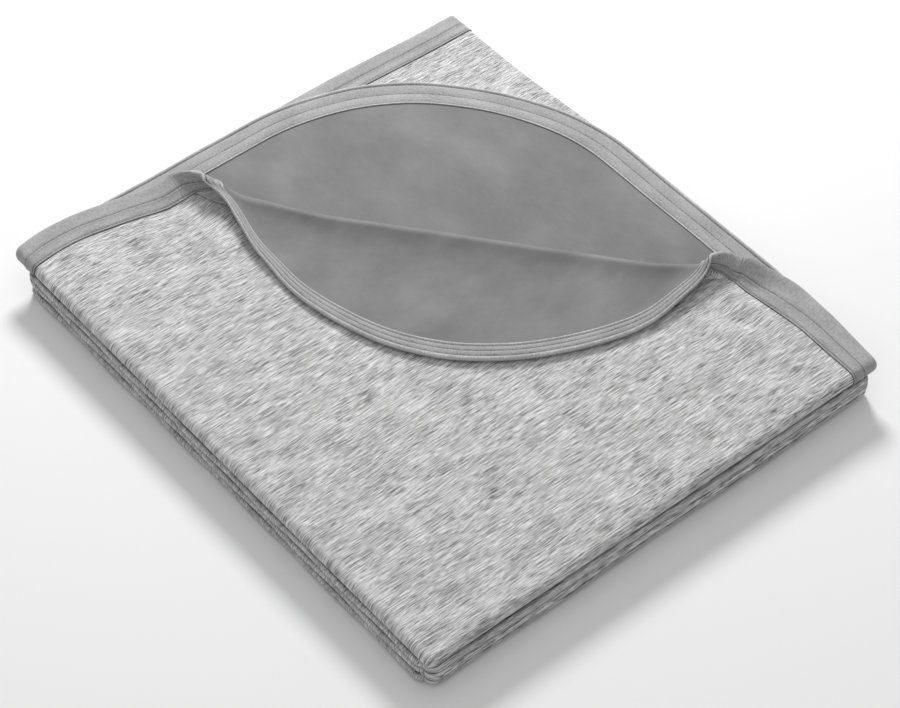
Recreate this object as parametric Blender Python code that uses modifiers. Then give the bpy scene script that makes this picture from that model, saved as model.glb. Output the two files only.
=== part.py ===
"""A queen-size two-sided blanket, folded to a sixteenth, with the corner of its top leaf turned back.

Folding: the blanket is halved twice across its width, which makes a strip of four leaves, and the strip
is then pleated into four sections. The top section is modelled leaf by leaf, each leaf as a face panel,
a reverse panel and the binding tape that wraps their raw edges. The three sections under it are soft
solids with their own binding. +X is the side where the leaves end, +Y the head end of the blanket.
"""

import math

import bpy
from mathutils import Matrix, Vector

# Folded size, in metres.
BLANKET_WIDTH = 2.00
BLANKET_LENGTH = 2.30
WIDTH = BLANKET_WIDTH / 4
LENGTH = BLANKET_LENGTH / 4

# One leaf: two knitted panels inside a tape.
PANEL_THICKNESS = 0.0008
TAPE_THICKNESS = 0.00035
TAPE_WIDTH = 0.028
CLEARANCE = 0.0003
TAPE_WALL = 0.001
CORE_THICKNESS = 2 * PANEL_THICKNESS + CLEARANCE
LEAF_THICKNESS = CORE_THICKNESS + 2 * (CLEARANCE + TAPE_THICKNESS)
LEAF_PITCH = LEAF_THICKNESS + 0.0004

# The three lower sections, each of four leaves pressed together.
SECTION_THICKNESS = 0.0096
SECTION_PITCH = SECTION_THICKNESS + CLEARANCE
SECTION_ROUND = 0.0042
SECTION_TAPE_RECESS = 0.0015

# Rounded corners of the top pair of leaves.
TOP_CORNER_RADIUS = 0.345
SECOND_CORNER_RADIUS = 0.245

# The crease that the top leaf's corner turns back on.
CREASE_DISTANCE = 0.292
CREASE_ANGLE = math.radians(-51.2)
CREASE_GAP = 0.002
CREASE_LIFT = 0.0074
TURN_BACK = math.radians(184)

ARC_STEPS = 28
SPILL = 0.006
CUT_DEPTH = 0.05

HEATHER = ("heather_knit", (0.47, 0.47, 0.47), 0.9)
SMOOTH = ("smooth_knit", (0.24, 0.24, 0.24), 0.75)
TAPE = ("binding_tape", (0.36, 0.36, 0.36), 0.8)


def clear_scene():
    for obj in list(bpy.data.objects):
        bpy.data.objects.remove(obj, do_unlink=True)


def new_collection(name):
    collection = bpy.data.collections.new(name)
    bpy.context.scene.collection.children.link(collection)
    return collection


def material(name, colour, roughness):
    found = bpy.data.materials.get(name)
    if found:
        return found
    made = bpy.data.materials.new(name)
    made.use_nodes = True
    shader = made.node_tree.nodes["Principled BSDF"]
    shader.inputs["Base Color"].default_value = (*colour, 1.0)
    shader.inputs["Roughness"].default_value = roughness
    shader.inputs["Metallic"].default_value = 0.0
    return made


def leaf_outline(head_inset, side_inset, radius, spill=0.0):
    """A leaf's outline, with its head-side corner rounded. Spill runs it out past the two creased edges."""
    left, front = -WIDTH / 2 - spill, -LENGTH / 2 - spill
    right, back = WIDTH / 2 - side_inset, LENGTH / 2 - head_inset
    points = [Vector((left, back)), Vector((left, front)), Vector((right, front))]
    if radius <= 0:
        return points + [Vector((right, back))]
    for step in range(ARC_STEPS + 1):
        turn = math.pi / 2 * step / ARC_STEPS
        centre = Vector((right - radius, back - radius))
        points.append(centre + radius * Vector((math.cos(turn), math.sin(turn))))
    return points


def keep_side(points, origin, normal):
    """The outline's part on the side of the line that the normal points to."""
    kept = []
    for here, there in zip(points, points[1:] + points[:1]):
        a, b = (here - origin).dot(normal), (there - origin).dot(normal)
        if a >= 0:
            kept.append(here)
        if a * b < 0:
            kept.append(here.lerp(there, a / (a - b)))
    return kept


def slab(name, points, centre_z, thickness, collection):
    """A closed flat solid from an outline, as a mesh with its place in its vertices."""
    curve = bpy.data.curves.new(name, "CURVE")
    curve.dimensions = "2D"
    curve.fill_mode = "BOTH"
    curve.extrude = thickness / 2
    spline = curve.splines.new("POLY")
    spline.points.add(len(points) - 1)
    for spline_point, point in zip(spline.points, points):
        spline_point.co = (point.x, point.y, 0, 1)
    spline.use_cyclic_u = True
    guide = bpy.data.objects.new(name + "_guide", curve)
    collection.objects.link(guide)
    guide.location.z = centre_z
    bpy.context.view_layer.update()
    evaluated = guide.evaluated_get(bpy.context.evaluated_depsgraph_get())
    mesh = bpy.data.meshes.new_from_object(evaluated)
    mesh.transform(guide.matrix_world)
    bpy.data.objects.remove(guide, do_unlink=True)
    solid = bpy.data.objects.new(name, mesh)
    collection.objects.link(solid)
    weld = solid.modifiers.new("join_caps", "WELD")
    weld.merge_threshold = 0.00001
    return solid


def cut(target, cutter):
    cutter.hide_render = True
    cutter.display_type = "WIRE"
    modifier = target.modifiers.new("cut_" + cutter.name, "BOOLEAN")
    modifier.operation = "DIFFERENCE"
    modifier.solver = "EXACT"
    modifier.object = cutter


def finish(obj, look):
    obj.data.materials.clear()
    obj.data.materials.append(material(*look))
    return obj


def crease_frame():
    """The crease's point nearest the blanket's corner, its direction, and the way back to the corner."""
    along = Vector((math.cos(CREASE_ANGLE), math.sin(CREASE_ANGLE)))
    to_corner = Vector((-along.y, along.x))
    corner = Vector((WIDTH / 2, LENGTH / 2))
    return corner - to_corner * CREASE_DISTANCE, along, to_corner


class Leaf:
    """Two panels and their tape at one height, which may be trimmed along the crease.

    bound_side says whether its +X edge is bound or is a crease. A tape that the trim leaves in two
    stretches is two pieces, one for the head end and one for the side.
    """

    def __init__(self, name, centre_z, radius, bound_side, face_up, parts, cutters):
        self.name, self.centre_z, self.radius = name, centre_z, radius
        self.bound_side, self.face_up = bound_side, face_up
        self.parts, self.cutters = parts, cutters
        self.trim = None
        self.tape_stretches = {"_binding": None}

    def outline(self, inset, spill=0.0):
        side = inset if self.bound_side else -spill
        radius = self.radius - inset if self.radius else 0
        points = leaf_outline(inset, side, radius, spill)
        return keep_side(points, *self.trim) if self.trim and not spill else points

    def panel(self, suffix, offset, look):
        points = self.outline(TAPE_WALL + CLEARANCE)
        panel = slab(self.name + suffix, points, self.centre_z + offset, PANEL_THICKNESS, self.parts)
        return finish(panel, look)

    def cutter(self, suffix, inset, height):
        return slab(self.name + suffix, self.outline(inset, SPILL), self.centre_z, height, self.cutters)

    def build(self):
        offset = (PANEL_THICKNESS + CLEARANCE) / 2 * (1 if self.face_up else -1)
        window = self.cutter("_window", TAPE_WIDTH, CUT_DEPTH)
        groove = self.cutter("_groove", TAPE_WALL, CORE_THICKNESS + 2 * CLEARANCE)
        pieces = [self.panel("_face_panel", offset, HEATHER), self.panel("_reverse_panel", -offset, SMOOTH)]
        for suffix, towards in self.tape_stretches.items():
            points = self.outline(0)
            if towards:
                points = keep_side(points, Vector((0, 0)), Vector(towards))
            tape = slab(self.name + suffix, points, self.centre_z, LEAF_THICKNESS, self.parts)
            cut(tape, groove)
            cut(tape, window)
            pieces.append(finish(tape, TAPE))
        return pieces + [window, groove]


def turned_corner(parts, cutters, leaf_z):
    """The top leaf's corner, built flat in its leaf's plane and then turned back about the crease."""
    origin, along, to_corner = crease_frame()
    corner = Leaf("corner_flap", leaf_z, TOP_CORNER_RADIUS, True, True, parts, cutters)
    corner.trim = (origin + to_corner * CREASE_GAP, to_corner)
    flat = Matrix.Translation((*origin, leaf_z + CREASE_LIFT))
    hinge = bpy.data.objects.new("corner_flap_hinge", None)
    parts.objects.link(hinge)
    hinge.matrix_world = flat @ Matrix.Rotation(TURN_BACK, 4, Vector((*along, 0)))
    for obj in corner.build():
        obj.data.transform(flat.inverted())
        obj.parent = hinge


def lower_section(name, bottom, bound_head, parts, cutters):
    """Four leaves pressed together as one soft solid, stepped down where the tape lies on it."""
    centre_z = bottom + SECTION_THICKNESS / 2
    bpy.ops.mesh.primitive_cube_add(size=1, location=(0, 0, centre_z))
    solid = bpy.context.object
    solid.name = name
    solid.scale = (WIDTH, LENGTH, SECTION_THICKNESS)
    bpy.ops.object.transform_apply(location=True, rotation=False, scale=True)
    for collection in list(solid.users_collection):
        collection.objects.unlink(solid)
    parts.objects.link(solid)
    rounded = solid.modifiers.new("soft_edges", "BEVEL")
    rounded.width = SECTION_ROUND
    rounded.segments = 3

    head = TAPE_WIDTH if bound_head else -SPILL
    window = leaf_outline(head, TAPE_WIDTH, 0, SPILL)
    tape_outline = leaf_outline(0, 0, 0)
    tape = slab(name + "_binding", tape_outline, centre_z, SECTION_THICKNESS, parts)
    through = slab(name + "_window", window, centre_z, CUT_DEPTH, cutters)
    wall = SECTION_TAPE_RECESS
    inner_head = wall if bound_head else -SPILL
    groove = slab(
        name + "_groove",
        leaf_outline(inner_head, wall, 0, SPILL),
        centre_z,
        SECTION_THICKNESS - 2 * wall,
        cutters,
    )
    cut(tape, groove)
    cut(tape, through)

    step_head = TAPE_WIDTH + CLEARANCE if bound_head else -SPILL
    body_outline = leaf_outline(step_head, TAPE_WIDTH + CLEARANCE, 0, SPILL)
    inner = slab(name + "_full_height", body_outline, centre_z, SECTION_THICKNESS + SPILL, cutters)
    tongue_head = wall + CLEARANCE if bound_head else -SPILL
    tongue = slab(
        name + "_tongue",
        leaf_outline(tongue_head, wall + CLEARANCE, 0, SPILL),
        centre_z,
        SECTION_THICKNESS - 2 * (wall + CLEARANCE),
        cutters,
    )
    join = inner.modifiers.new("join_tongue", "BOOLEAN")
    join.operation = "UNION"
    join.object = tongue
    for helper in (inner, tongue):
        helper.hide_render = True
        helper.display_type = "WIRE"
    trim = solid.modifiers.new("trim_for_tape", "BOOLEAN")
    trim.operation = "INTERSECT"
    trim.object = inner
    finish(solid, HEATHER)
    finish(tape, TAPE)


def main():
    clear_scene()
    parts = new_collection("folded_blanket")
    cutters = new_collection("cutters")

    for index, name in enumerate(("fourth_section", "third_section", "second_section")):
        lower_section(name, index * SECTION_PITCH, name == "fourth_section", parts, cutters)

    lowest_leaf = 3 * SECTION_PITCH + LEAF_PITCH / 2
    top_z = lowest_leaf + 3 * LEAF_PITCH
    Leaf("fourth_leaf", lowest_leaf, 0, False, False, parts, cutters).build()
    Leaf("third_leaf", lowest_leaf + LEAF_PITCH, 0, False, True, parts, cutters).build()
    second_z = lowest_leaf + 2 * LEAF_PITCH
    Leaf("second_leaf", second_z, SECOND_CORNER_RADIUS, True, False, parts, cutters).build()

    origin, _, to_corner = crease_frame()
    top = Leaf("top_leaf", top_z, TOP_CORNER_RADIUS, True, True, parts, cutters)
    top.trim = (origin - to_corner * CREASE_GAP, -to_corner)
    top.tape_stretches = {"_head_binding": (-1, 1), "_side_binding": (1, -1)}
    top.build()
    turned_corner(parts, cutters, top_z)


main()
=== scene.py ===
"""The looks of a two-sided blanket folded to a sixteenth, with the corner of its top leaf turned back.

Every cloth is made from its flat cut. A shape function maps flat points in metres to their place, a panel
is the cloth between two heights over that middle surface, and a tape is a profile swept along the cut's
edge through the same function. Flat coordinates are x across the blanket and y along it.
"""

import math

import bpy
import numpy as np
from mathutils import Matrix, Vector
from mathutils.geometry import delaunay_2d_cdt


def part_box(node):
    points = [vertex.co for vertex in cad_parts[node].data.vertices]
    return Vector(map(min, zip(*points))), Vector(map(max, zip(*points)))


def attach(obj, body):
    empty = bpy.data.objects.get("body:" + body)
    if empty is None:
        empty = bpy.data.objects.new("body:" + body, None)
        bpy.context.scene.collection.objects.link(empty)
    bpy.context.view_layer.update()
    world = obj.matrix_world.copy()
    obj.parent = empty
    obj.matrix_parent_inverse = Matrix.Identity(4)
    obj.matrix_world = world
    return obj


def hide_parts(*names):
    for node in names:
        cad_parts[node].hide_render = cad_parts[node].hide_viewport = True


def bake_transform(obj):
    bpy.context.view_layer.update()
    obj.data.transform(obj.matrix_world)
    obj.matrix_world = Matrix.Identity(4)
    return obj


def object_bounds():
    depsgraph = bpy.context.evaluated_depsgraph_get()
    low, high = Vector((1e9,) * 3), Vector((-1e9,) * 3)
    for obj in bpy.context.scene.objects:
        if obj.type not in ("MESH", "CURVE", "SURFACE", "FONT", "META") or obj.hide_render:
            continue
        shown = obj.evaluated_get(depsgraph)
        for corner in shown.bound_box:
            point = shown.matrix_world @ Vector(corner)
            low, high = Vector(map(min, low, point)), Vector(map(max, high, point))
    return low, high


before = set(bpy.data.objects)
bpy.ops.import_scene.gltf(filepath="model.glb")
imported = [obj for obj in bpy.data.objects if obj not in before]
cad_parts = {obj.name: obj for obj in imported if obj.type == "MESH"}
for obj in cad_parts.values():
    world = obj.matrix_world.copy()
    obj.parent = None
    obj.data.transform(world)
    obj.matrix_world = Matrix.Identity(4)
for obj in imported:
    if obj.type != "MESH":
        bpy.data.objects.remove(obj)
cad_low, cad_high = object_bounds()


# ---------------------------------------------------------------- sizes from the frame

def leaf_height(leaf):
    """The height of a leaf's middle plane."""
    boxes = [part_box(f"{leaf}_{side}_panel") for side in ("face", "reverse")]
    return sum(low.z + high.z for low, high in boxes) / 4


LEFT, FRONT, RIGHT, BACK = cad_low.x, cad_low.y, cad_high.x, cad_high.y
LEAVES = ("top_leaf", "second_leaf", "third_leaf", "fourth_leaf")
TOP_Z, SECOND_Z, THIRD_Z, FOURTH_Z = map(leaf_height, LEAVES)
SECTIONS = ("second_section", "third_section", "fourth_section")

# Cloth and tape, in metres from a leaf's middle surface.
CLOTH = 0.0014
CLOTH_GAP = 0.00005
EDGE_INSET = 0.0008
FACE_TAPE = 0.028
FLAP_TAPE = 0.0172
REVERSE_TAPE = 0.0305

# The two leaves that have rounded corners at the head end.
TOP_CORNER = 0.3638
SECOND_CORNER = 0.243

# The rolled folds along the left and front sides of the top section.
TOP_ROLL = (TOP_Z - FOURTH_Z) / 2
SECOND_ROLL = (SECOND_Z - THIRD_Z) / 2
ROLL_PROUD = 0.0016
LEFT_START = LEFT + TOP_ROLL + ROLL_PROUD
FRONT_START = FRONT + TOP_ROLL + ROLL_PROUD
TUCK = 0.03

# The crease that the corner turns back on: s runs along it and n away from the blanket's corner.
CORNER = np.array([RIGHT, BACK])
CREASE_ANGLE = math.radians(-51.2)
ALONG = np.array([math.cos(CREASE_ANGLE), math.sin(CREASE_ANGLE)])
TO_CORNER = np.array([-ALONG[1], ALONG[0]])
CREASE_DISTANCE = 0.2999
CREASE_MIDDLE = 0.066
CREASE_HALF = 0.24
# Each mouth of the fold: where the leaf's edge meets it, how far in it starts to pull, by how much, and its
# radius.
LEFT_MOUTH = (-0.2412, 0.1775, 0.0401, 0.0100)
RIGHT_MOUTH = (0.3731, 0.1303, 0.0779, 0.0136)
TURN_RADIUS = 0.0067
FLAP_REST = 0.0053
FLAP_SETTLE = 2.1
LEFT_SLUMP, RIGHT_SLUMP = 0.5, 0.25
GATHER_LEFT, GATHER_RIGHT = 0.1396, 0.0752
FLAP_REACH, FLAP_SKEW, FLAP_BOW = 1.0236, 0.1154, -0.2445


# ---------------------------------------------------------------- shapes of the cloth

def smooth(t):
    t = np.clip(t, 0, 1)
    return t * t * (3 - 2 * t)


def crease_coordinates(points):
    away = points - CORNER
    return away @ ALONG, -(away @ TO_CORNER)


def from_crease(s, n):
    return CORNER + np.outer(s, ALONG) - np.outer(n, TO_CORNER)


def crease_at(s):
    """The crease's distance from the corner, its radius, and how near each mouth is, from 0 to 1.

    The crease is pulled towards the corner and opens wider at both mouths.
    """
    left_end, left_length, left_pull, left_radius = LEFT_MOUTH
    right_end, right_length, right_pull, right_radius = RIGHT_MOUTH
    left = np.clip((left_end + left_length - s) / left_length, 0, 1.3)
    right = np.clip((s - right_end + right_length) / right_length, 0, 1.3)
    near_left, near_right = np.clip(left, 0, 1) ** 4, np.clip(right, 0, 1) ** 4
    radius = TURN_RADIUS
    radius = radius + (left_radius - TURN_RADIUS) * near_left
    radius = radius + (right_radius - TURN_RADIUS) * near_right
    distance = CREASE_DISTANCE - left_pull * left**2 - right_pull * right**2
    return distance, radius, near_left, near_right


def past_crease(points):
    s, n = crease_coordinates(points)
    return crease_at(s)[0] - n


def wrinkle(points, start, end, width, height):
    """A soft ridge, or a valley where height is negative, that fades out at both ends of its line."""
    start, end = np.array(start), np.array(end)
    line = end - start
    share = np.clip((points - start) @ line / (line @ line), 0, 1)
    distance = np.linalg.norm(points - start - np.outer(share, line), axis=1)
    return height * np.exp(-((distance / width) ** 2)) * np.sin(np.pi * np.clip(share, 0.02, 0.98)) ** 0.7


def ripples(points, height, phase):
    """Low waves in cloth that lies nearly flat."""
    x, y = points.T
    round_turn = 2 * np.pi
    wave = np.sin(round_turn * (x / 0.21 + y / 0.53 + phase))
    wave *= np.sin(round_turn * (y / 0.26 - x / 0.7 + 2 * phase))
    finer = np.sin(round_turn * (x / 0.093 - y / 0.31 + 3 * phase))
    finer *= np.sin(round_turn * (y / 0.12 + phase))
    return height * (wave + 0.6 * finer)


def rolled(points, z, radius, left=None, front=None, right=None):
    """A flat leaf at height z that rolls down and under past the sides given."""
    x, y = points.T
    past_x, side = np.zeros_like(x), np.zeros_like(x)
    base_x, base_y = x.copy(), y.copy()
    if left is not None:
        past_x = np.clip(left - x, 0, None)
        side = -np.sign(past_x)
        base_x = np.maximum(base_x, left)
    if right is not None:
        past_right = np.clip(x - right, 0, None)
        side = np.where(past_right > 0, 1, side)
        past_x = np.maximum(past_x, past_right)
        base_x = np.minimum(base_x, right)
    past_y = np.clip(front - y, 0, None) if front is not None else np.zeros_like(y)
    if front is not None:
        base_y = np.maximum(base_y, front)
    past = np.hypot(past_x, past_y)
    turn = np.clip(past / radius, 0, np.pi)
    out = radius * np.sin(turn) - np.clip(past - np.pi * radius, 0, None)
    share = out / np.maximum(past, 1e-9)
    place = np.c_[base_x + side * past_x * share, base_y - past_y * share, z - radius * (1 - np.cos(turn))]
    return place


def top_edge_point(length, inset):
    """The flat point at a length along the top leaf's head edge, round corner and side, from the left."""
    straight = RIGHT - TOP_CORNER - LEFT
    turn = (length - straight) / TOP_CORNER
    radius = TOP_CORNER - inset
    if turn < 0:
        return LEFT + length, BACK - inset
    if turn < np.pi / 2:
        return RIGHT - TOP_CORNER + radius * math.sin(turn), BACK - TOP_CORNER + radius * math.cos(turn)
    return RIGHT - inset, BACK - TOP_CORNER - TOP_CORNER * (turn - np.pi / 2)


# How the cloth round each mouth strays from a plain turn-back: a length along the top leaf's edge, a
# distance in from it, and the move there in x, y and z. Cloth within MOVE_REACH of a place moves with it,
# and MOVE_EASE keeps moves that nearly disagree from straining the cloth between them.
MOUTH_MOVES = (
    (0.075, 0.000, (0.000, 0.003, 0.000)), (0.100, 0.000, (0.001, 0.004, 0.000)),
    (0.120, 0.000, (0.003, 0.003, 0.001)), (0.151, 0.000, (0.0055, -0.0085, 0.0095)),
    (0.170, 0.000, (-0.0095, 0.000, 0.0105)), (0.185, 0.000, (-0.009, 0.009, 0.008)),
    (0.197, 0.000, (-0.003, 0.007, 0.009)), (0.209, 0.000, (0.000, 0.005, 0.008)),
    (0.234, 0.000, (0.000, 0.002, 0.006)), (0.254, 0.000, (-0.001, 0.000, 0.004)),
    (0.270, 0.000, (0.000, -0.001, 0.0024)),
    (0.115, 0.028, (0.000, -0.001, 0.000)), (0.135, 0.028, (0.000, -0.0045, 0.0005)),
    (0.150, 0.028, (0.001, -0.006, 0.001)), (0.165, 0.028, (0.004, -0.007, 0.001)),
    (0.178, 0.028, (0.000, 0.000, -0.002)), (0.210, 0.024, (-0.004, -0.002, 0.000)),
    (0.234, 0.024, (-0.004, -0.002, 0.000)), (0.262, 0.024, (-0.002, -0.001, 0.000)),
    (0.812, 0.000, (0.001, 0.000, 0.001)), (0.797, 0.000, (-0.003, 0.0036, 0.0053)),
    (0.7795, 0.000, (-0.010, 0.006, 0.0124)), (0.764, 0.000, (-0.014, 0.004, 0.016)),
    (0.755, 0.000, (-0.014, -0.0016, 0.0093)), (0.7465, 0.000, (-0.0094, -0.002, 0.007)),
    (0.735, 0.000, (-0.003, -0.0047, 0.0055)), (0.720, 0.000, (0.000, -0.003, 0.0048)),
    (0.695, 0.000, (0.001, -0.0023, 0.0023)),
    (0.757, 0.028, (-0.003, -0.0055, 0.000)), (0.785, 0.0152, (-0.007, 0.000, 0.001)),
    (0.785, 0.028, (-0.0065, 0.000, 0.000)), (0.815, 0.028, (-0.0065, 0.000, 0.000)),
    (0.815, 0.0152, (-0.006, 0.000, 0.000)), (0.845, 0.028, (-0.005, 0.000, 0.000)),
    (0.845, 0.0152, (-0.004, 0.000, 0.000)), (0.875, 0.028, (-0.003, 0.000, 0.000)),
)
MOVE_REACH = 0.024
MOVE_EASE = 0.03


def nearness(points, places):
    """How much each point moves with each place: 1 at the place, fading out past MOVE_REACH."""
    return np.exp(-((np.linalg.norm(points[:, None] - places[None], axis=2) / MOVE_REACH) ** 2))


MOVE_PLACES = np.array([top_edge_point(length, inset) for length, inset, _ in MOUTH_MOVES])
MOVE_AMOUNTS = np.array([move for _, _, move in MOUTH_MOVES])
MOVE_OVERLAPS = nearness(MOVE_PLACES, MOVE_PLACES) + MOVE_EASE * np.eye(len(MOUTH_MOVES))
MOVE_WEIGHTS = np.linalg.solve(MOVE_OVERLAPS, MOVE_AMOUNTS)

# Wrinkles on the flat cloth by the mouths: start, end, width and height of each.
MOUTH_WRINKLES = (
    ((0.155, -0.140), (0.208, -0.245), 0.009, 0.0042),
    ((0.182, -0.190), (0.218, -0.268), 0.009, -0.0030),
    ((0.175, -0.225), (0.198, -0.290), 0.008, -0.0028),
    ((0.150, -0.150), (0.110, -0.215), 0.012, 0.0024),
    ((0.206, -0.150), (0.222, -0.230), 0.007, 0.0024),
    ((-0.075, 0.222), (-0.150, 0.150), 0.012, 0.0024),
    ((-0.085, 0.235), (-0.190, 0.200), 0.010, -0.0014),
)


def top_leaf(points):
    """The top leaf: rolled at the left and front, and turned back past the crease."""
    s, n = crease_coordinates(points)
    crease, radius, near_left, near_right = crease_at(s)
    past = crease - n
    turn = np.clip(past / radius, 0, np.pi)
    flat = np.clip(past - np.pi * radius, 0, None)
    across = (s - CREASE_MIDDLE) / CREASE_HALF
    reach = FLAP_REACH + FLAP_SKEW * across + FLAP_BOW * across**2
    over = past > 0
    n_turned = np.where(over, crease - radius * np.sin(turn) + flat * reach, n)
    gather = smooth(past / (np.pi * radius)) * np.where(s < CREASE_MIDDLE, GATHER_LEFT, GATHER_RIGHT)
    s_turned = CREASE_MIDDLE + (s - CREASE_MIDDLE) * (1 - gather)
    settled = 1 - np.exp(-((flat / (FLAP_SETTLE * radius)) ** 1.15))
    slump = 2 * radius * (LEFT_SLUMP * near_left + RIGHT_SLUMP * near_right)
    rise = radius * (1 - np.cos(turn)) - slump * smooth(turn * 2 / np.pi - 1)
    rise = rise + (FLAP_REST + slump - 2 * radius) * settled
    plan = np.where(over[:, None], from_crease(s_turned, n_turned), points)
    # The head and side edges bow out a little where the bound edge is slack.
    x, y = points.T
    near_head = smooth(1 - (BACK - y) / 0.09) * (1 - smooth(past / 0.01 + 1))
    near_side = smooth(1 - (RIGHT - x) / 0.09) * (1 - smooth(past / 0.01 + 1))
    plan = plan + np.outer(near_head * 0.015 * np.exp(-(((x + 0.215) / 0.06) ** 2)), (0, 1))
    plan = plan + np.outer(near_side * 0.011 * np.exp(-(((y + 0.205) / 0.06) ** 2)), (1, 0))
    drag = smooth((y - 0.06) / 0.14) * (1 - smooth(past / 0.03 + 1)) * np.exp(-(((x + 0.10) / 0.06) ** 2))
    plan = plan - np.outer(drag * 0.005, (0, 1))
    place = rolled(plan, TOP_Z, TOP_ROLL, left=LEFT_START, front=FRONT_START)
    on_packet = 1 - smooth(past / 0.02)
    waves = ripples(plan, 0.0005, 0.13)
    for line in MOUTH_WRINKLES:
        waves = waves + wrinkle(plan, *line) * on_packet
    inside = smooth((plan[:, 0] - LEFT) / 0.05) * smooth((plan[:, 1] - FRONT) / 0.05)
    place[:, 2] += np.where(over, np.clip(rise, 0, None), 0) + waves * inside
    place += nearness(points, MOVE_PLACES) @ MOVE_WEIGHTS
    return place


def slack(points):
    """Flat points of the lower leaves, moved out at the head and side where the bound edges lie loose."""
    x, y = points.T
    head = 0.0115 - 0.0045 * smooth((x - 0.10) / 0.12) - 0.005 * smooth((-0.19 - x) / 0.05)
    side = 0.0125 * smooth((y + 0.235) / 0.09) - 0.007 * smooth((y - 0.05) / 0.16)
    return points + np.c_[side * smooth(x / 0.2), head * smooth(y / 0.2)]


def second_leaf(points):
    place = rolled(slack(points), SECOND_Z, SECOND_ROLL, left=LEFT_START + 0.003)
    corner = np.linalg.norm(points - np.array([RIGHT - SECOND_CORNER, BACK - SECOND_CORNER]), axis=1)
    rim = np.where(np.all(points > CORNER - SECOND_CORNER, axis=1), corner - SECOND_CORNER,
                   np.maximum(points[:, 0] - RIGHT, points[:, 1] - BACK))
    droop = smooth(1 + rim / 0.03) * 0.0012
    place[:, 2] += ripples(points, 0.0005, 0.41) - droop
    return place


def third_leaf(points):
    fold = RIGHT - SECOND_ROLL - ROLL_PROUD
    moved = slack(np.c_[np.minimum(points[:, 0], fold), points[:, 1]])
    out = moved[:, 0] - np.minimum(points[:, 0], fold)
    place = rolled(np.c_[points[:, 0], moved[:, 1]], THIRD_Z, SECOND_ROLL, right=fold)
    place[:, 0] += out
    place[:, 2] += ripples(points, 0.0002, 0.77)
    return place


def fourth_leaf(points):
    return np.c_[slack(points), np.full(len(points), FOURTH_Z)]


def middle_surface(shape, points):
    """Places and unit normals of the middle surface over flat points."""
    step = 1e-4
    along_x = shape(points + (step, 0)) - shape(points - (step, 0))
    along_y = shape(points + (0, step)) - shape(points - (0, step))
    normal = np.cross(along_x, along_y)
    normal /= np.maximum(np.linalg.norm(normal, axis=1, keepdims=True), 1e-12)
    return shape(points), normal


# ---------------------------------------------------------------- flat cuts

def corner_path(inset, radius, left, front, spacing=0.002):
    """The head edge from the left, the rounded corner, and the side edge to the front, as flat points."""
    right, back = RIGHT - inset, BACK - inset
    radius = max(radius - inset, 0.0005)
    head = np.arange(left, right - radius, spacing)
    turn = np.linspace(0, np.pi / 2, max(2, int(radius * np.pi / 2 / spacing)))
    side = np.arange(back - radius, front, -spacing)
    return spread(np.concatenate([
        np.c_[head, np.full(len(head), back)],
        np.c_[right - radius + radius * np.sin(turn), back - radius + radius * np.cos(turn)],
        np.c_[np.full(len(side), right), side],
    ]), spacing)


def spread(path, spacing):
    """The path's points again, evenly spaced."""
    steps = np.linalg.norm(np.diff(path, axis=0), axis=1)
    length = np.concatenate([[0], np.cumsum(steps)])
    at = np.linspace(0, length[-1], max(2, int(round(length[-1] / spacing)) + 1))
    return np.c_[np.interp(at, length, path[:, 0]), np.interp(at, length, path[:, 1])]


def inside(points, outline):
    """Which points lie inside a closed outline."""
    found = np.zeros(len(points), bool)
    x, y = points.T
    for (ax, ay), (bx, by) in zip(outline, np.roll(outline, -1, axis=0)):
        if ay == by:
            continue
        crosses = (ay > y) != (by > y)
        found ^= crosses & (x < (bx - ax) * (y - ay) / (by - ay) + ax)
    return found


def clear_of(points, outline, distance):
    keep = np.ones(len(points), bool)
    for start in range(0, len(points), 2000):
        part = points[start:start + 2000]
        gaps = np.linalg.norm(part[:, None] - outline[None], axis=2).min(1)
        keep[start:start + 2000] = gaps > distance
    return points[keep]


def twice_areas(flat, faces):
    """Twice each triangle's area, below 0 where its points go clockwise."""
    a, b, c = flat[faces[:, 0]], flat[faces[:, 1]], flat[faces[:, 2]]
    return (b[:, 0] - a[:, 0]) * (c[:, 1] - a[:, 1]) - (b[:, 1] - a[:, 1]) * (c[:, 0] - a[:, 0])


def filled(outline, inner, spacing):
    """Flat triangles inside a closed outline, through the inner points given."""
    inner = inner[inside(inner, outline)]
    inner = clear_of(inner, outline, spacing)
    points = np.concatenate([outline, inner])
    edges = [(i, (i + 1) % len(outline)) for i in range(len(outline))]
    made = delaunay_2d_cdt([Vector(p) for p in points], edges, [], 1, 1e-7)
    flat = np.array([tuple(p) for p in made[0]])
    faces = np.array([f for f in made[2] if len(f) == 3])
    turned = twice_areas(flat, faces)
    faces[turned < 0] = faces[turned < 0][:, ::-1]
    return flat, faces


def grid(xs, ys):
    x, y = np.meshgrid(xs, ys)
    return np.c_[x.ravel(), y.ravel()]


def ticks(*stops):
    """Values from the first stop on: each later stop is (value, spacing up to it)."""
    values = [np.array([stops[0]])]
    at = stops[0]
    for end, spacing in stops[1:]:
        count = max(1, int(round((end - at) / spacing)))
        values.append(np.linspace(at, end, count + 1)[1:])
        at = end
    return np.concatenate(values)


# ---------------------------------------------------------------- meshes

def mark(piece, name, values):
    """A number at each point of a piece, for its material to read."""
    attribute = piece.data.attributes.new(name, "FLOAT", "POINT")
    attribute.data.foreach_set("value", np.asarray(values, np.float32))


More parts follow.
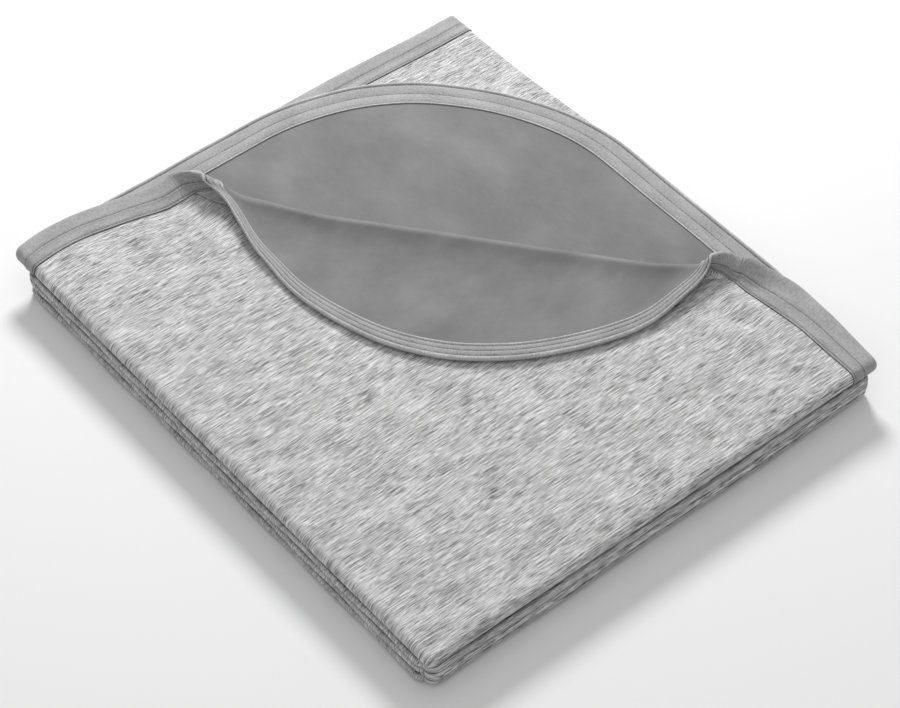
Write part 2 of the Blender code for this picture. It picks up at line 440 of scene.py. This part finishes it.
def new_piece(name, places, faces, flat, look):
    mesh = bpy.data.meshes.new(name)
    mesh.from_pydata([tuple(p) for p in places], [], [tuple(int(i) for i in f) for f in faces])
    attribute = mesh.attributes.new("cloth", "FLOAT_VECTOR", "POINT")
    attribute.data.foreach_set("vector", np.asarray(flat, np.float32).ravel())
    mesh.shade_smooth()
    mesh.materials.append(look)
    piece = bpy.data.objects.new(name, mesh)
    bpy.context.scene.collection.objects.link(piece)
    return piece


def panel(name, cut, shape, low, high, look, layer):
    """A closed cloth between two heights over the middle surface."""
    flat, faces = cut
    middle, normal = middle_surface(shape, flat)
    count = len(flat)
    places = np.concatenate([middle + normal * high, middle + normal * low])
    edges = np.concatenate([faces[:, [0, 1]], faces[:, [1, 2]], faces[:, [2, 0]]])
    keys = {(a, b) for a, b in edges}
    walls = [(b, a, a + count, b + count) for a, b in edges if (b, a) not in keys]
    every = [tuple(f) for f in faces] + [tuple(f[::-1] + count) for f in faces] + walls
    coordinates = np.c_[np.concatenate([flat, flat]), np.full(2 * count, layer)]
    return new_piece(name, places, every, coordinates, look)


def inward_normals(path):
    tangent = np.gradient(path, axis=0)
    tangent /= np.linalg.norm(tangent, axis=1, keepdims=True)
    return np.c_[tangent[:, 1], -tangent[:, 0]]


def swept(name, path, profile, shape, look, layer=0.0):
    """A closed band along an edge: profile is a loop of (distance in from the edge, height, seam)."""
    normals = inward_normals(path)
    steps = np.linalg.norm(np.diff(path, axis=0), axis=1)
    length = np.concatenate([[0], np.cumsum(steps)])
    rings, coordinates = [], []
    for inset, height, _ in profile:
        middle, normal = middle_surface(shape, path + normals * inset)
        rings.append(middle + normal * height)
        coordinates.append(np.c_[length, np.full(len(path), inset), np.full(len(path), layer)])
    seams = np.tile([seam for _, _, seam in profile], len(path))
    rings, coordinates = np.stack(rings, 1), np.stack(coordinates, 1)
    stations, sides = len(path), len(profile)
    faces = []
    for i in range(stations - 1):
        for j in range(sides):
            k = (j + 1) % sides
            faces.append((i * sides + j, i * sides + k, (i + 1) * sides + k, (i + 1) * sides + j))
    faces.append(tuple(range(sides))[::-1])
    faces.append(tuple((stations - 1) * sides + j for j in range(sides)))
    piece = new_piece(name, rings.reshape(-1, 3), faces, coordinates.reshape(-1, 3), look)
    # seam: painted shade in the tape's grooves and painted highlight on its beads, for its colour to read.
    mark(piece, "seam", seams)
    return piece


def stitching(name, path, inset, height, shape, look, pitch=0.0028, length=0.0017, width=0.00024):
    """A row of raised stitches, each a long grain with eight sides."""
    path = spread(path, pitch)
    normals = inward_normals(path)
    tangent = np.c_[-normals[:, 1], normals[:, 0]]
    centre = path + normals * inset
    ends = [(-length / 2, 0, 0), (length / 2, 0, 0)]
    waist = [(0, width, 0), (0, 0, width), (0, -width, 0), (0, 0, -width)]
    rings = []
    for forward, aside, up in ends + waist:
        middle, normal = middle_surface(shape, centre + tangent * forward + normals * aside)
        rings.append(middle + normal * (height + up))
    places = np.stack(rings, 1).reshape(-1, 3)
    faces = []
    for i in range(len(path)):
        a = i * 6
        for j in range(4):
            k = (j + 1) % 4
            faces += [(a, a + 2 + j, a + 2 + k), (a + 1, a + 2 + k, a + 2 + j)]
    flat = np.repeat(np.c_[centre, np.zeros(len(path))], 6, axis=0)
    return new_piece(name, places, faces, flat, look)


# Where the binding's rows of stitching lie: in from its edge, in from its face width, in from its reverse
# width, and as a share of its reverse width.
FACE_SEAM = 0.0152
FACE_ROW_INSET = 0.0026
REVERSE_ROW_INSET = 0.0027
REVERSE_SEAM = 0.55


def tape_profile(face_width, reverse_width):
    """The binding's section as a loop of (inset, height, seam).

    The seam is painted shade in the tape's colour: 1 at the bottom of a stitched groove, and below 0 a
    painted highlight on a bead. Each inner edge has a lip and a stitched groove, the middle has a seam
    between its two folds, and the outer edge is round.
    """
    top, lip, low = 0.0022, 0.0027, 0.0014
    flats = [(inset, top, 0) for inset in np.linspace(face_width - 0.0034, 0.0175, 5)]
    outer = [(inset, top, 0) for inset in np.linspace(0.0143, 0.0030, 7)]
    face_lip = [(face_width, CLOTH, 1), (face_width - 0.0001, lip - 0.0004, 0.6),
                (face_width - 0.0007, lip, 0)]
    face_groove = [(face_width - 0.0018, top, 0), (face_width - FACE_ROW_INSET, low, 0.8)]
    face_seam = [(0.0166, lip + 0.0002, 0), (0.0160, lip - 0.0003, 0), (FACE_SEAM, low - 0.0002, 1)]
    outer_edge = [(0.0010, 0.0016, 0), (-0.0003, 0.0008, 0)]
    face = face_lip + face_groove + flats + face_seam + outer + outer_edge
    middle = reverse_width * REVERSE_SEAM
    inner = [(inset, -CLOTH, 0) for inset in np.linspace(reverse_width, 0.0009, 9)[1:]]
    bead = [(-0.0006, 0.0, -0.2), (-0.0004, -0.0012, -0.45), (0.0006, -0.0024, -0.6),
            (0.0018, -0.0029, -0.45)]
    bead_groove = [(0.0030, -0.0024, 0), (0.0039, -0.0014, 0.9), (0.0050, -0.0021, 0), (0.0070, -0.0023, 0)]
    reverse_seam = [(middle - 0.0008, -0.0022, 0), (middle, -0.0017, 0.8), (middle + 0.0008, -0.0022, 0)]
    reverse_groove = [(reverse_width - 0.0036, -0.0021, 0),
                      (reverse_width - REVERSE_ROW_INSET, -0.0015, 0.6)]
    reverse_lip = [(reverse_width - 0.0019, -0.0023, -0.2), (reverse_width - 0.0009, -0.0028, -0.6),
                   (reverse_width - 0.0002, -0.0023, -0.2), (reverse_width, -CLOTH, 0.6)]
    reverse = bead + bead_groove + reverse_seam + reverse_groove + reverse_lip
    under = [(inset, CLOTH, 0) for inset in np.linspace(0.0009, face_width, 11)[:-1]]
    return face + reverse + inner + [(0.0004, 0.0, 0)] + under


# ---------------------------------------------------------------- materials

def srgb(value):
    """The linear colour of a grey that is shown as value, from 0 to 255."""
    value = value / 255
    linear = ((value + 0.055) / 1.055) ** 2.4
    return (linear, linear, linear, 1)


class Nodes:
    """Short names for building a material's nodes."""

    def __init__(self, name, roughness, sheen):
        self.material = bpy.data.materials.new(name)
        self.material.use_nodes = True
        self.tree = self.material.node_tree
        self.shader = self.tree.nodes["Principled BSDF"]
        self.shader.inputs["Roughness"].default_value = roughness
        self.shader.inputs["Sheen Weight"].default_value = sheen
        self.shader.inputs["Sheen Roughness"].default_value = 0.5
        self.shader.inputs["Specular IOR Level"].default_value = 0.25

    def new(self, kind, **values):
        node = self.tree.nodes.new("ShaderNode" + kind)
        for key, value in values.items():
            if key in node.inputs:
                node.inputs[key].default_value = value
            else:
                setattr(node, key, value)
        return node

    def link(self, output, target):
        self.tree.links.new(output, target)

    def cloth(self):
        return self.new("Attribute", attribute_name="cloth").outputs["Vector"]

    def scaled(self, vector, scale):
        node = self.new("VectorMath", operation="MULTIPLY")
        self.link(vector, node.inputs[0])
        node.inputs[1].default_value = scale
        return node.outputs[0]

    def noise(self, vector, scale, detail=2.0, roughness=0.5):
        node = self.new("TexNoise", Scale=1.0, Detail=detail, Roughness=roughness)
        self.link(self.scaled(vector, scale), node.inputs["Vector"])
        return node.outputs[0]

    def maths(self, operation, a, b=None, c=None):
        node = self.new("Math", operation=operation)
        for i, value in enumerate((a, b, c)):
            if value is None:
                continue
            if isinstance(value, (int, float)):
                node.inputs[i].default_value = value
            else:
                self.link(value, node.inputs[i])
        return node.outputs[0]

    def greys(self, factor, *stops):
        """A ramp of greys: each stop is a position and a value from 0 to 255."""
        node = self.new("ValToRGB")
        elements = node.color_ramp.elements
        while len(elements) < len(stops):
            elements.new(0.5)
        for element, (position, value) in zip(elements, stops):
            element.position = position
            element.color = srgb(value)
        self.link(factor, node.inputs["Fac"])
        return node.outputs["Color"]

    def colour(self, output):
        self.link(output, self.shader.inputs["Base Color"])

    def rough(self, output, low, high):
        node = self.new("MapRange")
        node.inputs["To Min"].default_value = low
        node.inputs["To Max"].default_value = high
        self.link(output, node.inputs["Value"])
        self.link(node.outputs[0], self.shader.inputs["Roughness"])

    def bump(self, height, distance, strength=1.0):
        node = self.new("Bump", Strength=strength, Distance=distance)
        self.link(height, node.inputs["Height"])
        self.link(node.outputs["Normal"], self.shader.inputs["Normal"])


def heather_knit():
    """Marled knit: short light and dark yarn lengths that run across the blanket, over fine ribs; painted
    shade in creases.
    """
    m = Nodes("heather_knit", 0.85, 0.08)
    cloth = m.cloth()
    fine = m.noise(cloth, (150, 2600, 300), 2.0, 0.6)
    slub = m.noise(cloth, (66, 2000, 300), 2.0, 0.6)
    streak = m.noise(cloth, (28, 1400, 300), 2.0, 0.5)
    cloud = m.noise(cloth, (28, 46, 300), 3.0, 0.6)
    mix = m.maths("MULTIPLY_ADD", slub, 0.46, m.maths("MULTIPLY", fine, 0.30))
    mix = m.maths("MULTIPLY_ADD", streak, 0.24, mix)
    mix = m.maths("MULTIPLY_ADD", m.maths("SUBTRACT", cloud, 0.5), 0.10, mix)
    # Painted shade, read from the groove number, in the creases between folded leaves and rolls.
    groove = m.new("Attribute", attribute_name="groove").outputs["Fac"]
    mix = m.maths("SUBTRACT", mix, m.maths("MULTIPLY", groove, 0.16))
    m.colour(m.greys(mix, (0.26, 52), (0.39, 70), (0.455, 136), (0.51, 203), (0.57, 238)))
    m.rough(mix, 0.78, 0.95)
    m.bump(m.maths("ADD", fine, slub), 0.0004, 0.6)
    return m.material


def smooth_knit():
    """Close jersey: even mid grey, faint wales along the blanket, soft clouds where it has been handled."""
    m = Nodes("smooth_knit", 0.7, 0.15)
    cloth = m.cloth()
    cloud = m.noise(cloth, (17, 12, 40), 3.0, 0.55)
    wale = m.noise(cloth, (900, 160, 40), 1.5, 0.5)
    mix = m.maths("MULTIPLY_ADD", cloud, 0.85, m.maths("MULTIPLY", wale, 0.15))
    m.colour(m.greys(mix, (0.36, 115), (0.5, 125), (0.64, 135)))
    m.rough(mix, 0.62, 0.8)
    m.bump(m.maths("MULTIPLY_ADD", cloud, 5.0, m.maths("MULTIPLY", wale, 0.15)), 0.0008, 0.6)
    return m.material


def binding_tape():
    """Woven tape: fine ribs straight across, flecked, painted shade in its seams, painted highlight on its
    beads.
    """
    m = Nodes("binding_tape", 0.75, 0.08)
    cloth = m.cloth()
    rib = m.new("TexWave", wave_type="BANDS", bands_direction="X", Scale=1.0, Distortion=0.6)
    m.link(m.scaled(cloth, (330, 12, 0)), rib.inputs["Vector"])
    fleck = m.noise(cloth, (620, 330, 50), 2.0, 0.65)
    cloud = m.noise(cloth, (26, 60, 50), 2.0, 0.5)
    mix = m.maths("MULTIPLY_ADD", rib.outputs["Fac"], 0.09, m.maths("MULTIPLY", fleck, 0.57))
    mix = m.maths("MULTIPLY_ADD", cloud, 0.34, mix)
    seam = m.new("Attribute", attribute_name="seam").outputs["Fac"]
    # Painted shade where the seam number is above 0, and a painted highlight where it is below 0.
    mix = m.maths("SUBTRACT", mix, m.maths("MULTIPLY", seam, 0.42))
    m.colour(m.greys(mix, (0.08, 66), (0.33, 138), (0.5, 165), (0.68, 184), (0.86, 222)))
    m.rough(mix, 0.68, 0.85)
    m.bump(m.maths("MULTIPLY_ADD", rib.outputs["Fac"], 0.6, fleck), 0.0003, 0.5)
    return m.material


def stitch_thread():
    m = Nodes("stitch_thread", 0.55, 0.05)
    cloth = m.cloth()
    m.colour(m.greys(m.noise(cloth, (900, 900, 50)), (0.3, 140), (0.7, 180)))
    m.bump(m.noise(cloth, (1500, 1500, 50)), 0.0001, 0.5)
    return m.material


HEATHER, SMOOTH, TAPE, THREAD = heather_knit(), smooth_knit(), binding_tape(), stitch_thread()


# ---------------------------------------------------------------- the top section's leaves

def split_path(path, test):
    """The path's stretches before, inside and after the points that pass the test."""
    hits = np.flatnonzero(test)
    return path[:hits[0] + 1], path[hits[0]:hits[-1] + 1], path[hits[-1]:]


FLAT_GRID = 0.005
ROLL_GRID = 0.0013
left_end = LEFT_START - np.pi * TOP_ROLL - TUCK
front_end = FRONT_START - np.pi * TOP_ROLL - TUCK
roll_x = LEFT_START - np.pi * TOP_ROLL
roll_y = FRONT_START - np.pi * TOP_ROLL
packet_xs = ticks(left_end, (roll_x, 0.01), (LEFT_START + 0.002, ROLL_GRID), (RIGHT, FLAT_GRID))
packet_ys = ticks(front_end, (roll_y, 0.01), (FRONT_START + 0.002, ROLL_GRID), (BACK, FLAT_GRID))


def crease_line(path_end_left, path_end_right):
    """Flat points along the crease's start between two points of the edge."""
    s_left = crease_coordinates(path_end_left[None])[0][0]
    s_right = crease_coordinates(path_end_right[None])[0][0]
    s = np.linspace(s_left, s_right, 130)
    return from_crease(s, crease_at(s)[0])


edge = corner_path(EDGE_INSET, TOP_CORNER, left_end, front_end)
head, turned, side = split_path(edge, past_crease(edge) > 0)
line = crease_line(turned[0], turned[-1])
bottom = spread(np.array([side[-1], [side[-1][0], front_end], [left_end, front_end], head[0]]), 0.005)
packet_outline = np.concatenate([spread(head, 0.004)[:-1], line, spread(side, 0.004)[1:], bottom[1:-1]])
packet_cut = filled(packet_outline, grid(packet_xs, packet_ys), 0.0016)

flap_s = np.arange(-0.26, 0.40, 0.0045)
flap_past = ticks(0, (0.045, 0.0014), (0.28, 0.0042))
s_grid, past_grid = (a.ravel() for a in np.meshgrid(flap_s, flap_past))
flap_inner = from_crease(s_grid, crease_at(s_grid)[0] - past_grid)
flap_outline = np.concatenate([spread(turned, 0.003), line[::-1][1:-1]])
flap_cut = filled(flap_outline[::-1], flap_inner, 0.0016)

top_face = panel("top_leaf_face", packet_cut, top_leaf, CLOTH_GAP, CLOTH, HEATHER, 0.0)
top_reverse = panel("top_leaf_reverse", packet_cut, top_leaf, -CLOTH, -CLOTH_GAP, SMOOTH, 0.0)
flap_face = panel("corner_flap_face", flap_cut, top_leaf, CLOTH_GAP, CLOTH, HEATHER, 0.0)
flap_reverse = panel("corner_flap_reverse", flap_cut, top_leaf, -CLOTH, -CLOTH_GAP, SMOOTH, 0.0)

rim = corner_path(0, TOP_CORNER, left_end, front_end, 0.0015)
rim_head, rim_turned, rim_side = split_path(rim, past_crease(rim) > -0.003)
top_profile = tape_profile(FACE_TAPE, FLAP_TAPE)
top_head_tape = swept("top_leaf_head_tape", rim_head, top_profile, top_leaf, TAPE)
top_side_tape = swept("top_leaf_side_tape", rim_side, top_profile, top_leaf, TAPE)
flap_tape = swept("corner_flap_tape", rim_turned, top_profile, top_leaf, TAPE)


def stitch_rows(reverse_width):
    """The binding's rows of stitches, as name, distance in from the edge and height."""
    return (
        ("seam", FACE_SEAM, 0.0013),
        ("inner", FACE_TAPE - FACE_ROW_INSET, 0.0015),
        ("reverse", reverse_width - REVERSE_ROW_INSET, -0.0016),
        ("reverse_seam", reverse_width * REVERSE_SEAM, -0.0018),
    )


top_stitches, flap_stitches = [], []
stitched_stretches = (
    ("top_leaf_head", rim_head, top_stitches),
    ("top_leaf_side", rim_side, top_stitches),
    ("corner_flap", rim_turned, flap_stitches),
)
for row, inset, height in stitch_rows(FLAP_TAPE):
    for label, path, rows in stitched_stretches:
        rows.append(stitching(f"{label}_{row}_stitches", path, inset, height, top_leaf, THREAD))


def lower_leaf(name, radius, shape, left, front, right_extra, bound_side, face_up):
    """A whole leaf under the top one: two cloths, its binding and the stitches in it."""
    outline = corner_path(EDGE_INSET, radius, left, front, 0.003)
    if not bound_side:
        right = RIGHT + right_extra
        outline = np.array([[left, BACK - EDGE_INSET], [right, BACK - EDGE_INSET], [right, front]])
    outline = np.concatenate([outline, [[left, front]]])
    outline = spread(np.concatenate([outline, outline[:1]]), 0.004)[:-1]
    xs = ticks(left, (LEFT_START + 0.006, 0.0015), (RIGHT - 0.008, 0.006), (RIGHT + 0.02, 0.0012))
    cut = filled(outline, grid(xs, ticks(front, (BACK, 0.006))), 0.0016)
    upper, lower = (HEATHER, SMOOTH) if face_up else (SMOOTH, HEATHER)
    names = ("face", "reverse") if face_up else ("reverse", "face")
    layer = 0.01 * len(bpy.data.meshes)
    pieces = [panel(f"{name}_{names[0]}", cut, shape, CLOTH_GAP, CLOTH, upper, layer),
              panel(f"{name}_{names[1]}", cut, shape, -CLOTH, -CLOTH_GAP, lower, layer)]
    path = corner_path(0, radius, left, front, 0.002)
    if not bound_side:
        path = spread(np.array([[left, BACK], [RIGHT + right_extra, BACK]]), 0.0015)
    profile = tape_profile(FACE_TAPE, REVERSE_TAPE)
    if not face_up:
        profile = [(inset, -height, seam) for inset, height, seam in profile][::-1]
    pieces.append(swept(f"{name}_tape", path, profile, shape, TAPE))
    sign = 1 if face_up else -1
    for row, inset, height in stitch_rows(REVERSE_TAPE):
        pieces.append(stitching(f"{name}_{row}_stitches", path, inset, sign * height, shape, THREAD))
    return pieces, cut


fold_over = np.pi * SECOND_ROLL + 0.004
leaf_front = FRONT + 0.006
square_corner = 0.001
second_pieces, second_cut = lower_leaf(
    "second_leaf", SECOND_CORNER, second_leaf, LEFT_START - 0.004, leaf_front,
    right_extra=0, bound_side=True, face_up=False)
third_pieces, third_cut = lower_leaf(
    "third_leaf", square_corner, third_leaf, LEFT_START + 0.002, leaf_front,
    right_extra=fold_over, bound_side=False, face_up=True)
fourth_pieces, fourth_cut = lower_leaf(
    "fourth_leaf", square_corner, fourth_leaf, LEFT_START + 0.002, leaf_front,
    right_extra=-0.010, bound_side=False, face_up=False)


# ---------------------------------------------------------------- the three lower sections

SECTION_CORNER = 0.012
RIM_STEPS = 26
CORNER_STEPS = 8
SIDE_SPACING = 0.008


def rim_depth(kind, share):
    """How far a section's rim stands in from its side at a share of its height, for one kind of side."""
    def round_rim(t, depth):
        return depth * (1 - np.sqrt(np.clip(1 - (2 * t - 1) ** 2, 0, 1)))

    leaves = round_rim((share * 4) % 1.0, 0.0012)
    if kind == "roll":
        return round_rim(share, 0.0058)
    if kind == "leaves":
        return 0.0008 + leaves
    if kind == "crease_over_leaves":
        return np.where(share > 0.5, round_rim((share - 0.5) * 2, 0.0024), 0.0012 + leaves)
    return np.where(share < 0.5, round_rim(share * 2, 0.0024), 0.0012 + leaves)


def section(name, low, high, kinds, insets, layer):
    """A closed stack of four leaves. kinds and insets go left, back, right, front."""
    left, back, right, front = (LEFT + insets[0], BACK - insets[1], RIGHT - insets[2], FRONT + insets[3])
    centres = [(left, front), (left, back), (right, back), (right, front)]
    radius = SECTION_CORNER
    stations, weights = [], []
    corner_signs = [(1, 1), (1, -1), (-1, -1), (-1, 1)]
    for index in range(4):
        (ax, ay), (sx, sy) = centres[index], corner_signs[index]
        centre = np.array([ax + sx * radius, ay + sy * radius])
        start = np.pi * 1.5 - index * np.pi / 2
        for step in range(CORNER_STEPS + 1):
            turn = start - step * np.pi / 2 / CORNER_STEPS
            outward = np.array([math.cos(turn), math.sin(turn)])
            stations.append((centre + outward * radius, outward))
            weight = np.zeros(4)
            weight[(index - 1) % 4] = 1 - step / CORNER_STEPS
            weight[index] = step / CORNER_STEPS
            weights.append(weight)
        (bx, by), (tx, ty) = centres[(index + 1) % 4], corner_signs[(index + 1) % 4]
        here = stations[-1][0]
        there = np.array([bx + tx * radius, by + ty * radius]) + stations[-1][1] * radius
        count = int(np.linalg.norm(there - here) / SIDE_SPACING)
        for step in range(1, count):
            weight = np.zeros(4)
            weight[index] = 1
            stations.append((here + (there - here) * step / count, stations[-1][1]))
            weights.append(weight)
    heights = 0.5 - 0.5 * np.cos(np.linspace(0, np.pi, RIM_STEPS))
    depth = np.stack([rim_depth(kind, heights) for kind in kinds])
    places, flat, grooves = [], [], []
    for (point, outward), weight in zip(stations, weights):
        inwards = weight @ depth
        # Painted shade for the heather's colour, deeper where the rim stands further in between the folds.
        grooves.extend(np.clip(inwards / 0.0045, 0, 1) ** 2)
        wobble = 0.0006 * math.sin(point[0] * 47 + point[1] * 61 + layer * 90)
        for share, inward in zip(heights, inwards):
            spot = point - outward * (inward + wobble)
            places.append((spot[0], spot[1], low + (high - low) * share))
            along_side = abs(outward[0]) > 0.5
            flat.append((spot[0] + (share - 0.5) * 0.018, spot[1], layer) if along_side
                        else (spot[0], spot[1] + (share - 0.5) * 0.018, layer))
    count, rings = len(stations), RIM_STEPS
    faces = []
    for i in range(count):
        k = (i + 1) % count
        for j in range(rings - 1):
            faces.append((i * rings + j, i * rings + j + 1, k * rings + j + 1, k * rings + j))
    faces.append(tuple(i * rings for i in range(count)))
    faces.append(tuple(i * rings + rings - 1 for i in range(count))[::-1])
    piece = new_piece(name, places, faces, flat, HEATHER)
    mark(piece, "groove", grooves)
    return piece


SECTION_KINDS = {
    "second_section": ("roll", "roll", "crease_over_leaves", "roll"),
    "third_section": ("roll", "roll", "leaves_over_crease", "roll"),
    "fourth_section": ("roll", "leaves", "crease_over_leaves", "roll"),
}
section_pieces = {}
for index, name in enumerate(SECTIONS):
    low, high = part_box(name)
    back_inset = 0.0015 if name == "fourth_section" else 0.006
    section_pieces[name] = section(name + "_cloth", low.z, high.z, SECTION_KINDS[name],
                                   (0.0, back_inset, 0.0012, 0.009), 0.3 + 0.1 * index)


def fat_roll(name, low, high, y_edge, inward, left, right, layer, grooves):
    """Folded leaves that wrap round from one section to the next, as a long bulge with rounded ends."""
    depth, across, round_end = 0.016, 40, 0.010
    half = (high - low) / 2
    stations = np.concatenate([
        left + round_end * (1 - np.cos(np.linspace(0, np.pi / 2, 9))),
        np.linspace(left + 0.02, right - 0.02, 80),
        right - round_end * (1 - np.cos(np.linspace(np.pi / 2, 0, 9))),
    ])
    places, flat, painted_shade = [], [], []
    for x in stations:
        end = min(1.0, (x - left) / round_end, (right - x) / round_end)
        pinch = math.sqrt(max(0.0, 1 - (1 - end) ** 2))
        for j in range(across):
            turn = np.pi * j / (across - 1)
            lift = math.copysign(abs(math.cos(turn)) ** 0.62, math.cos(turn))
            z = (low + high) / 2 + half * lift * (0.72 + 0.28 * pinch)
            out = depth * math.sin(turn) ** 0.55 * (0.35 + 0.65 * pinch)
            # Painted shade under the overhanging section at the top of the roll, and in the roll's grooves.
            dark = math.exp(-(((high - z) / 0.0022) ** 2))
            for groove in grooves:
                out -= 0.0011 * math.exp(-(((z - groove) / 0.0011) ** 2))
                dark = max(dark, 0.55 * math.exp(-(((z - groove) / 0.0009) ** 2)))
            painted_shade.append(dark)
            out += 0.0006 * math.sin(x * 31 + layer * 50 + z * 70)
            places.append((x, y_edge + inward * (depth - out), z))
            flat.append((x, turn * 0.014, layer))
    count = len(stations)
    faces = []
    for i in range(count - 1):
        for j in range(across):
            k = (j + 1) % across
            face = (i * across + j, i * across + k, (i + 1) * across + k, (i + 1) * across + j)
            faces.append(face if inward > 0 else face[::-1])
    ends = [tuple(range(across)), tuple((count - 1) * across + j for j in range(across))]
    faces += [ends[0][::-1], ends[1]] if inward > 0 else [ends[0], ends[1][::-1]]
    piece = new_piece(name, places, faces, flat, HEATHER)
    mark(piece, "groove", painted_shade)
    return piece


fourth_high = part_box("fourth_section")[1]
third_low, third_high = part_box("third_section")
roll_gap = 0.0002
rolls_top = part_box("second_section")[1].z - roll_gap
front_roll = fat_roll("front_fold_cloth", roll_gap, rolls_top, FRONT, 1, LEFT + 0.004, RIGHT - 0.001, 0.71,
                      (fourth_high.z, third_high.z))
back_roll = fat_roll("back_fold_cloth", third_low.z, rolls_top, BACK, -1, LEFT + 0.001, RIGHT - 0.001, 0.83,
                     (third_high.z,))


# ---------------------------------------------------------------- bodies, replaced nodes, and the cuts' sizes and areas

packet_pieces = [top_face, top_reverse, top_head_tape, top_side_tape, *top_stitches, *second_pieces,
                 *third_pieces, *fourth_pieces, *section_pieces.values(), front_roll, back_roll]
for piece in packet_pieces:
    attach(piece, "packet")

# The flap's pieces have their transforms baked into their meshes.
for piece in (flap_face, flap_reverse, flap_tape, *flap_stitches):
    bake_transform(piece)

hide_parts("top_leaf_face_panel")
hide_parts("top_leaf_reverse_panel")
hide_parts("top_leaf_head_binding")
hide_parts("top_leaf_side_binding")
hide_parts("corner_flap_face_panel")
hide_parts("corner_flap_reverse_panel")
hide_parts("corner_flap_binding")
for name, pieces, face_up in (("second_leaf", second_pieces, False), ("third_leaf", third_pieces, True),
                              ("fourth_leaf", fourth_pieces, False)):
    upper, lower = ("face", "reverse") if face_up else ("reverse", "face")
    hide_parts(f"{name}_{upper}_panel")
    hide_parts(f"{name}_{lower}_panel")
    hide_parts(f"{name}_binding")
for name, piece in section_pieces.items():
    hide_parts(name, name + "_binding")


def cut_area(cut):
    return float(np.abs(twice_areas(*cut)).sum() / 2)


def cut_size(cut):
    return tuple(float(v) for v in cut[0].max(0) - cut[0].min(0))


def declare(cut):
    size, area = cut_size(cut), cut_area(cut)
    area = min(area, size[0] * size[1])


declare(packet_cut)
declare(packet_cut)
declare(flap_cut)
declare(flap_cut)
declare(second_cut)
declare(second_cut)
declare(third_cut)
declare(third_cut)
declare(fourth_cut)
declare(fourth_cut)


# ---------------------------------------------------------------- floor, light and camera

def floor():
    mesh = bpy.data.meshes.new("floor")
    far, down = 6.0, -0.0005
    corners = [(-far, -far, down), (far, -far, down), (far, far, down), (-far, far, down)]
    mesh.from_pydata(corners, [], [(0, 1, 2, 3)])
    m = Nodes("floor_paper", 0.9, 0.0)
    m.shader.inputs["Base Color"].default_value = (0.9, 0.9, 0.9, 1)
    mesh.materials.append(m.material)
    made = bpy.data.objects.new("floor", mesh)
    bpy.context.scene.collection.objects.link(made)


def area_light(name, place, aim, size, power):
    lamp = bpy.data.lights.new(name, "AREA")
    lamp.shape, lamp.size, lamp.energy = "DISK", size, power
    made = bpy.data.objects.new(name, lamp)
    made.location = place
    made.rotation_mode = "QUATERNION"
    made.rotation_quaternion = (Vector(aim) - Vector(place)).to_track_quat("-Z", "Y")
    bpy.context.scene.collection.objects.link(made)


def studio():
    world = bpy.data.worlds.new("studio")
    world.use_nodes = True
    background = world.node_tree.nodes["Background"]
    background.inputs["Color"].default_value = (1, 1, 1, 1)
    background.inputs["Strength"].default_value = 0.34
    bpy.context.scene.world = world
    area_light("key", (1.05, 1.45, 1.55), (0, 0, 0), 0.7, 46)
    area_light("front", (-1.5, -0.9, 1.7), (0, 0, 0), 1.4, 5)
    area_light("top", (0, 0, 2.4), (0, 0, 0), 2.0, 9)
    bpy.context.scene.view_settings.view_transform = "Standard"


LENS_MM = 121.0
CAMERA_AZIMUTH, CAMERA_ELEVATION = math.radians(-39.54), math.radians(48.74)
CAMERA_DISTANCE = 2.681
LOOK_AT = Vector((-0.004, -0.0155, 0.0))


def camera():
    lens = bpy.data.cameras.new("camera")
    lens.sensor_width = 36.0
    lens.lens = LENS_MM
    made = bpy.data.objects.new("camera", lens)
    back = Vector((math.sin(CAMERA_AZIMUTH) * math.cos(CAMERA_ELEVATION),
                   -math.cos(CAMERA_AZIMUTH) * math.cos(CAMERA_ELEVATION), math.sin(CAMERA_ELEVATION)))
    made.location = LOOK_AT + back * CAMERA_DISTANCE
    made.rotation_mode = "QUATERNION"
    made.rotation_quaternion = (-back).to_track_quat("-Z", "Y")
    bpy.context.scene.collection.objects.link(made)
    bpy.context.scene.camera = made


floor()
studio()
camera()
